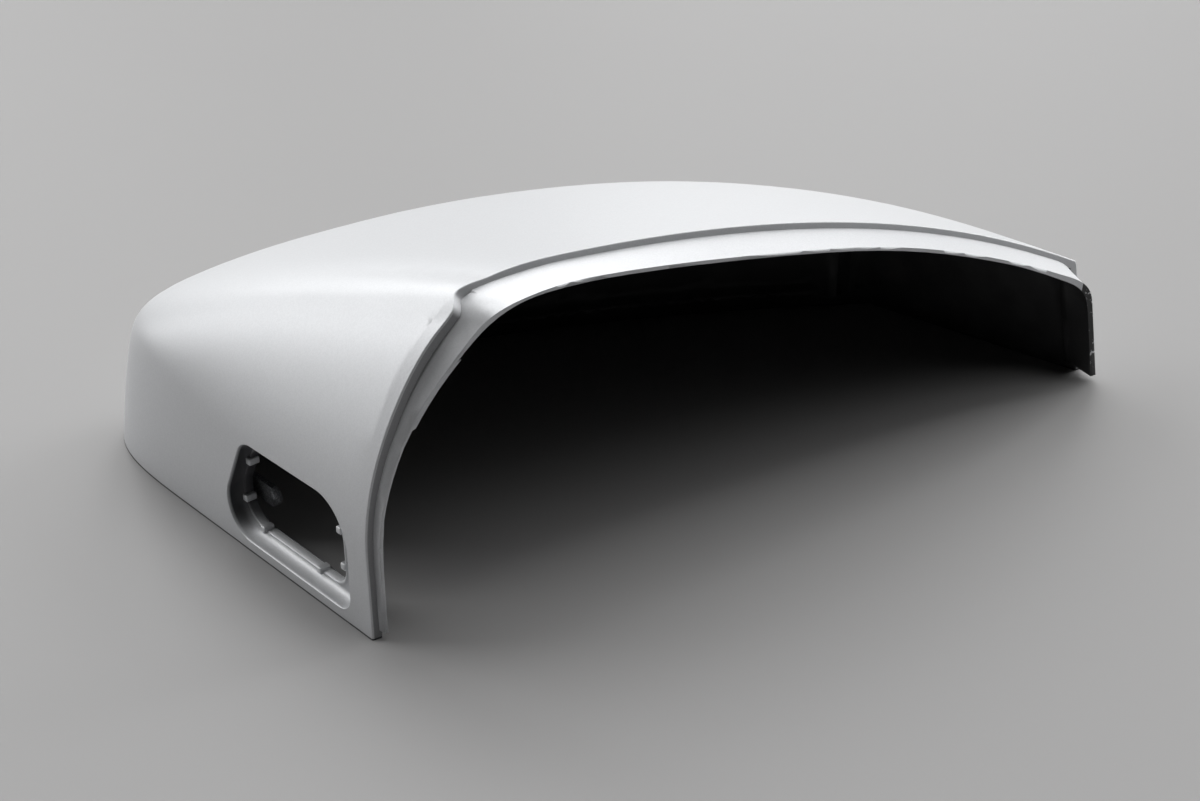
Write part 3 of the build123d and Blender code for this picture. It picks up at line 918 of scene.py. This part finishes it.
@dataclass(frozen=True)
class CoverShell:
    """The moulded cover: paint outside, on the lip and in the window, bare black inside."""

    rim: RimFrame = RimFrame()
    form: SkinForm = SkinForm()
    window: LampWindow = LampWindow()
    rear_edge: RearEdge = RearEdge()
    # Welding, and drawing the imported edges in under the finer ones
    weld: float = 0.002
    edge_depth: float = 0.75
    edge_foot: float = 1.0
    draw: float = 1.6
    pull: float = 6.0
    hidden: float = 0.3
    under: float = 0.06
    settle_steps: int = 3
    mouth_draw: float = 1.5
    jog: Span = (19.0, 32.0)
    jog_rear: float = -6.5
    # Shortening the lip's side leg and thinning its tab
    lip_trim: float = 0.4
    lip_thickness: float = 0.9
    tab_depth: float = 4.0
    tab_share: float = 0.45
    trim_x: float = 60.0
    trim_full: float = 50.0
    trim_none: float = 72.0
    # Smoothing
    soft_angle: float = 35.0
    on_skin: float = 0.5
    on_lip: float = 0.3
    along_skin: float = 0.86
    # Paint: depths under the skin, and turns as cosines between a face and the skin
    paint_depth: float = 0.35
    edge_y: float = 0.6
    riser_depth: float = 2.2
    skin_turn: float = -0.2
    riser_turn: float = -0.4
    lip_turn: float = 0.2
    end_turn: float = 0.3
    lip_shows: float = 1.0
    rearwards: float = 0.2
    leg_x: float = 225.0
    leg_top: float = 36.0
    leg_thickness: float = 4.0
    end_bevel: float = 1.8
    foot: float = 0.02
    # Tongue and window, measured on the side wall
    tongue_depth: Span = (7.0, 10.5)
    tongue_along: Span = (48.0, 80.0)
    tongue_up: Span = (6.0, 18.5)
    same_way: float = 0.6
    window_along: Span = (7.8, 66.6)
    window_up: Span = (1.9, 32.6)
    window_depth: Span = (-1.0, 6.3)
    drop_depth: float = 5.9

    def build(self) -> bpy.types.Object:
        """Copies and welds the solid's mesh, adds the finer forms, smooths it and paints it.

        Returns:
            The finished piece.
        """
        piece = add_object("cover_shell", frame["nodes"][NODE].data.copy())
        make_active(piece)
        bpy.ops.object.mode_set(mode="EDIT")
        bpy.ops.mesh.select_all(action="SELECT")
        bpy.ops.mesh.remove_doubles(threshold=self.weld * MM)
        bpy.ops.mesh.select_all(action="DESELECT")
        bpy.ops.object.mode_set(mode="OBJECT")
        self.drop_window(piece)
        self.clear_edges(piece.data)
        self.add_finer(piece)
        self.smooth(piece)
        self.dress(piece.data)
        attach(piece, BODY)
        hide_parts(NODE)
        return piece

    def drop_window(self, piece: bpy.types.Object) -> None:
        """Takes the solid's own window faces out of the active shell, which has nothing selected."""
        places, triangles, facing = self.measure(piece.data)
        centres = places[triangles].mean(1)
        along, depth = self.window.on_wall(centres)
        under_skin = (-self.form.skin(places))[triangles].max(1)
        gone = between(along, self.window_along) & between(centres[:, 2], self.window_up)
        gone &= (under_skin > self.on_skin) & (depth < self.drop_depth)
        gone &= self.window.looks_in(facing) < self.same_way
        piece.data.polygons.foreach_set("select", gone)
        bpy.ops.object.mode_set(mode="EDIT")
        bpy.ops.mesh.delete(type="FACE")
        bpy.ops.object.mode_set(mode="OBJECT")

    def clear_edges(self, mesh: bpy.types.Mesh) -> None:
        """Draws the solid's own rear edge and window mouth in under the finer ones.

        Args:
            mesh: the welded shell's mesh.
        """
        places = self.measure(mesh)[0]
        depth = -self.rear_edge.body(places)
        edge = self.rear_edge.edge_at(places)
        near_skin = np.abs(depth) < self.edge_depth
        lowered = self.draw_edge(places, depth, edge) & (depth < self.edge_depth)
        self.thin_tab(places, edge)
        lowered[self.draw_mouth(places, near_skin)] = True
        _x, y, z = places.T
        lowered |= near_skin & (y < edge + self.pull) & (y > edge) & (z > self.edge_foot)
        for _step in range(self.settle_steps):
            facing = facing_of(self.rear_edge.body, places)
            facing[:, 1] = 0.0
            gap = (self.rear_edge.body(places) + self.under)[:, None] * facing
            places[lowered] -= gap[lowered]
        mesh.vertices.foreach_set("co", self.rim.to_part(places).ravel())
        mesh.update()

    def draw_edge(self, places: Array, depth: Array, edge: Array) -> Array:
        """Draws the solid's rear edge forward, and shortens the lip's side leg behind it.

        Args:
            places: points in the rim frame, which are moved.
            depth: how deep under the skin each is.
            edge: the finer edge's y at each.

        Returns:
            Whether each point was drawn forward.
        """
        x, y, z = places.T.copy()
        untrimmed = np.clip((z - self.trim_full) / (self.trim_none - self.trim_full), 0, 1)
        trimmed = edge + (y - edge) * (1 - self.lip_trim * (1 - untrimmed))
        ahead = (z > self.edge_foot) & (depth > -self.edge_depth) & (y < edge + self.draw)
        at_edge = (depth < self.edge_depth) & (y > edge - self.hidden)
        at_jog = (depth < self.riser_depth) & between(x, self.jog)
        at_jog &= (y > self.jog_rear) & (z > self.trim_full)
        drawn = ahead & (at_edge | at_jog)
        side_lip = (x < self.trim_x) & (y < edge - self.hidden) & ~drawn
        places[drawn, 1] = (edge + self.draw)[drawn]
        places[side_lip, 1] = trimmed[side_lip]
        return drawn

    def thin_tab(self, places: Array, edge: Array) -> None:
        """Thins the tab under the lip's side leg, by moving its points."""
        x, y, z = places.T
        under_lip = -self.form.lip(places)
        on_tab = (x < self.trim_x) & (z < self.trim_none) & (y < edge + self.hidden)
        on_tab &= between(under_lip, (self.lip_thickness + self.hidden, self.tab_depth))
        thinner = (1 - self.tab_share) * (under_lip - self.lip_thickness)
        across = facing_of(self.form.lip, places) * np.array((1.0, 0.0, 1.0))
        places[on_tab] += (thinner[:, None] * across)[on_tab]

    def draw_mouth(self, places: Array, near_skin: Array) -> Array:
        """Draws the solid's window mouth out under the finer one: the numbers of the moved points."""
        x, y, _z = places.T
        in_zone = near_skin & (x < self.jog[0]) & (y > 0)
        mouth = self.window.mouth_points(0.0)
        gaps = np.linalg.norm(places[in_zone][:, None, :] - mouth[None], axis=2)
        close = gaps.min(1) < self.mouth_draw
        numbers = np.flatnonzero(in_zone)[close]
        places[numbers] = self.window.mouth_points(self.mouth_draw)[gaps.argmin(1)][close]
        return numbers

    def add_finer(self, piece: bpy.types.Object) -> None:
        """Joins the finer window and rear edge to the shell."""
        finer = [self.window.build(), self.rear_edge.build()]
        make_active(piece)
        for form in finer:
            form.select_set(True)
        bpy.ops.object.join()

    def smooth(self, piece: bpy.types.Object) -> None:
        """Shades the shell smooth and gives the skin and the lip the normals of their own forms.

        Args:
            piece: the welded shell, which is active.
        """
        bpy.ops.object.shade_smooth_by_angle(angle=math.radians(self.soft_angle))
        mesh = piece.data
        places, triangles, facing = self.measure(mesh)
        corners = triangles.ravel()
        normals = np.zeros(len(corners) * 3)
        mesh.corner_normals.foreach_get("vector", normals)
        normals = normals.reshape(-1, 3)
        corner_facing = np.repeat(facing, 3, axis=0)
        for surface, near in ((self.form.skin, self.on_skin), (self.form.lip, self.on_lip)):
            outwards = facing_of(surface, places)[corners]
            agreement = np.einsum("ij,ij->i", outwards, corner_facing)
            belongs = (np.abs(surface(places))[corners] < near) & (agreement > self.along_skin)
            normals[belongs] = outwards[belongs]
        mesh.normals_split_custom_set(normals)

    def measure(self, mesh: bpy.types.Mesh) -> tuple[Array, Array, Array]:
        """A mesh's points in the rim frame, each triangle's three points, and which way it looks."""
        places = np.zeros(len(mesh.vertices) * 3)
        mesh.vertices.foreach_get("co", places)
        triangles = np.zeros(len(mesh.loops), int)
        mesh.loops.foreach_get("vertex_index", triangles)
        facing = np.zeros(len(mesh.polygons) * 3)
        mesh.polygons.foreach_get("normal", facing)
        return self.rim.to_rim(places.reshape(-1, 3)), triangles.reshape(-1, 3), facing.reshape(-1, 3)

    def dress(self, mesh: bpy.types.Mesh) -> None:
        """Gives every face its finish."""
        mesh.materials.clear()
        for finish in (SilverPaint(), BareMoulding(), ChippedPaint(), DustedMoulding()):
            mesh.materials.append(finish.build())
        places, triangles, facing = self.measure(mesh)
        mesh.polygons.foreach_set("material_index", self.sort_faces(places[triangles], facing))

    def in_window(self, corners: Array, facing: Array) -> Array:
        """Which faces are the window's painted ones: its recess, ledge, bead and pips."""
        along, depth = self.window.on_wall(corners)
        up = corners[:, :, 2].mean(1)
        within = between(along.mean(1), self.window_along) & between(up, self.window_up)
        within &= (depth.min(1) > self.window_depth[0]) & (depth.max(1) < self.window_depth[1])
        return within & (self.window.looks_in(facing) < self.same_way)

    def on_tongue(self, centres: Array) -> Array:
        """Which faces, by their middles, are the snap tongue's."""
        along, depth = self.window.on_wall(centres)
        found = between(depth, self.tongue_depth) & between(along, self.tongue_along)
        return found & between(centres[:, 2], self.tongue_up)

    def sort_faces(self, corners: Array, facing: Array) -> Array:
        """Sorts faces by where they are and which way they look.

        Args:
            corners: three points of each face, in the rim frame.
            facing: outward directions of the faces.

        Returns:
            The number of each face's finish.
        """
        centres = corners.mean(1)
        x, y, z = centres.T
        past_end = self.form.past_end(centres)
        at_end = past_end > -self.leg_thickness
        depth = -np.maximum(self.form.skin(centres), past_end)
        outwards = np.einsum("ij,ij->i", facing_of(self.form.skin, centres), facing)
        outwards = np.where(at_end, np.maximum(outwards, facing[:, 0]), outwards)
        at_rear = y < self.edge_y
        rear_end = y < self.rear_edge.edge_at(centres) - self.lip_shows
        rear_end &= facing[:, 1] < -self.rearwards
        painted = (depth < self.paint_depth) & (outwards > self.skin_turn)
        painted |= at_rear & (depth < self.riser_depth) & (outwards > self.riser_turn)
        painted |= at_rear & (outwards > self.lip_turn)
        painted |= at_rear & (depth < self.edge_depth)
        painted |= at_end & (depth < self.end_bevel) & (outwards > self.end_turn)
        painted |= rear_end
        painted |= self.in_window(corners, facing)
        painted &= z > self.foot
        finish = np.where(painted, Finish.PAINT, Finish.BARE)
        finish[rear_end & (x > self.leg_x) & (z < self.leg_top)] = Finish.CHIPPED
        finish[self.on_tongue(centres)] = Finish.DUSTED
        return finish.astype(np.int32)


# Studio and camera: lengths in metres, angles in degrees


@dataclass(frozen=True)
class Softbox:
    """A square lamp on the sphere round the object."""

    name: str
    azimuth: float
    elevation: float
    power: float
    distance: float = 1.5
    size: float = 0.75

    def build(self, aim: Vector) -> None:
        """Hangs the lamp and turns it to a point."""
        data = bpy.data.lights.new(self.name, "AREA")
        data.size = self.size
        data.energy = self.power
        lamp = add_object(self.name, data)
        turn = math.radians(self.azimuth)
        lift = math.radians(self.elevation)
        across = math.cos(lift)
        away = Vector((math.cos(turn) * across, math.sin(turn) * across, math.sin(lift)))
        lamp.location = aim + away * self.distance
        lamp.rotation_euler = (-away).to_track_quat("-Z", "Y").to_euler()


@dataclass(frozen=True)
class Studio:
    """Board, lamps and surroundings."""

    board_size: float = 6.0
    aim: Triple = (0.0, 0.0, 0.04)
    wall_colour: Triple = (0.5, 0.5, 0.505)
    wall_light: float = 0.006
    lamps: tuple[Softbox, ...] = (
        Softbox("low_right_panel", 0.0, 12.0, 7.0),
        Softbox("low_rear_right_panel", 45.0, 12.0, 1.4),
        Softbox("low_rear_panel", 90.0, 12.0, 0.8),
        Softbox("low_rear_left_panel", 135.0, 12.0, 3.9),
        Softbox("low_left_panel", 180.0, 12.0, 0.6),
        Softbox("right_panel", 0.0, 38.0, 4.8),
        Softbox("rear_right_panel", 45.0, 38.0, 3.7),
        Softbox("rear_panel", 90.0, 38.0, 6.2),
        Softbox("rear_left_panel", 135.0, 38.0, 5.9),
        Softbox("front_right_panel", 315.0, 38.0, 1.3),
        Softbox("high_right_panel", 0.0, 64.0, 1.4),
        Softbox("high_rear_panel", 60.0, 64.0, 6.5),
        Softbox("high_rear_left_panel", 120.0, 64.0, 0.6),
        Softbox("high_front_panel", 300.0, 64.0, 3.2),
        Softbox("overhead_panel", 0.0, 90.0, 5.0),
    )

    def build(self) -> None:
        """Lays the board and lights it."""
        bpy.ops.mesh.primitive_plane_add(size=self.board_size, location=(0, 0, 0))
        board = bpy.context.active_object
        board.name = "studio_board"
        board.data.materials.append(StudioBoard().build())
        for lamp in self.lamps:
            lamp.build(Vector(self.aim))
        world = bpy.data.worlds.new("studio_walls")
        world.use_nodes = True
        background = world.node_tree.nodes["Background"]
        background.inputs["Color"].default_value = (*self.wall_colour, 1.0)
        background.inputs["Strength"].default_value = self.wall_light
        bpy.context.scene.world = world


@dataclass(frozen=True)
class PhotoCamera:
    """The photograph's viewpoint: its place is in the rim frame, in millimetres."""

    rim: RimFrame = RimFrame()
    place: Triple = (-161.945, -345.123, 271.247)
    pitch: float = 29.0
    heading: float = -33.6
    lens: float = 58.5
    sensor: float = 36.0
    clip_start: float = 0.01

    def build(self) -> None:
        """Makes the camera and sets it as the scene's own."""
        data = bpy.data.cameras.new("photo_camera")
        data.sensor_fit = "HORIZONTAL"
        data.sensor_width = self.sensor
        data.lens = self.lens
        data.clip_start = self.clip_start
        camera = add_object("photo_camera", data)
        camera.location = self.rim.to_part(self.place)
        tilt = math.radians(QUARTER_TURN - self.pitch)
        camera.rotation_euler = (tilt, 0.0, math.radians(self.heading))
        bpy.context.scene.camera = camera


def main() -> None:
    """Builds the scene."""
    logging.basicConfig(level=logging.INFO)
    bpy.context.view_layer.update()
    bpy.context.scene.view_settings.view_transform = "Standard"
    PhotoCamera().build()
    Studio().build()
    shell = CoverShell().build()
    log.info("%s: %d faces", shell.name, len(shell.data.polygons))


if __name__ == "__main__":
    main()
